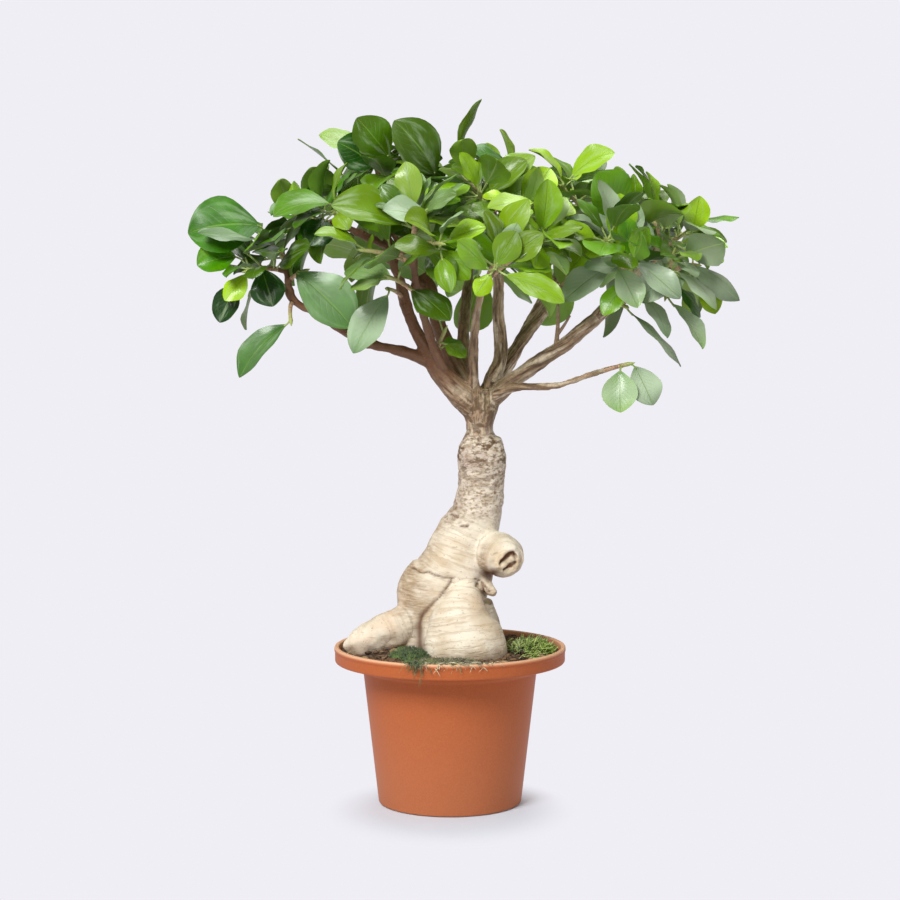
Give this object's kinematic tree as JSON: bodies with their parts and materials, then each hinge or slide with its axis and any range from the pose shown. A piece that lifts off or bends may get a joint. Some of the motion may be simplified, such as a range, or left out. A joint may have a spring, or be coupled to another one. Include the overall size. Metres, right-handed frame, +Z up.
{
  "type": "ficus bonsai",
  "caption": "Ficus bonsai with swollen roots, a bare lower trunk and a spreading leafy crown, in a tapered plastic pot with a wide collar.",
  "frame": {"origin": "middle of the pot's flat underside", "axes": "+Z up along the pot's axis, +X to the right and +Y away from someone who faces the front of the tree, with the long root on the left and the sawn stub on the right"},
  "size_m": [0.378, 0.2994, 0.492],
  "materials": {
    "terracotta_plastic": "satin",
    "potting_soil": "matte",
    "bark": "matte",
    "leaf": "satin",
    "moss": "matte"
  },
  "bodies": {
    "root": {"pot": "terracotta_plastic", "soil": "potting_soil", "trunk_and_limbs": "bark", "shoot_farLeftTip": "leaf", "shoot_farLeftLow": "leaf", "shoot_leftHanging": "leaf", "shoot_leftShiny": "leaf", "shoot_leftShelfTip": "leaf", "shoot_leftShelfMid": "leaf", "shoot_leftPointed": "leaf", "shoot_topLeftOut": "leaf", "shoot_topLeftIn": "leaf", "shoot_leftRiserLow": "leaf", "shoot_midLeft": "leaf", "shoot_midLeftLow": "leaf", "shoot_frontLeft": "leaf", "shoot_frontLeftLow": "leaf", "shoot_upright": "leaf", "shoot_midTop": "leaf", "shoot_bright": "leaf", "shoot_frontRosette": "leaf", "shoot_frontRight": "leaf", "shoot_rightTopIn": "leaf", "shoot_rightTop": "leaf", "shoot_rightTopOut": "leaf", "shoot_farRight": "leaf", "shoot_frontRightOut": "leaf", "shoot_silver": "leaf", "shoot_rightShelfMid": "leaf", "shoot_farRightLow": "leaf", "shoot_droopOut": "leaf", "shoot_droopIn": "leaf", "shoot_lowPair": "leaf", "shoot_backShelfMid": "leaf", "shoot_backShelfTip": "leaf", "shoot_backLeftTip": "leaf", "shoot_backLeftTop": "leaf", "shoot_backLeftLow": "leaf", "shoot_backMidTip": "leaf", "shoot_backMidTop": "leaf", "shoot_backMidLow": "leaf", "shoot_centreBack": "leaf", "shoot_centreRight": "leaf", "shoot_rightBackTip": "leaf", "shoot_rightBackOut": "leaf", "shoot_rightBackTop": "leaf", "shoot_farRightBack": "leaf", "shoot_backRightTip": "leaf", "shoot_backRightLow": "leaf", "shoot_innerLow": "leaf", "mossRight": "moss", "mossLeft": "moss", "mossFront": "moss"}
  },
  "joints": []
}
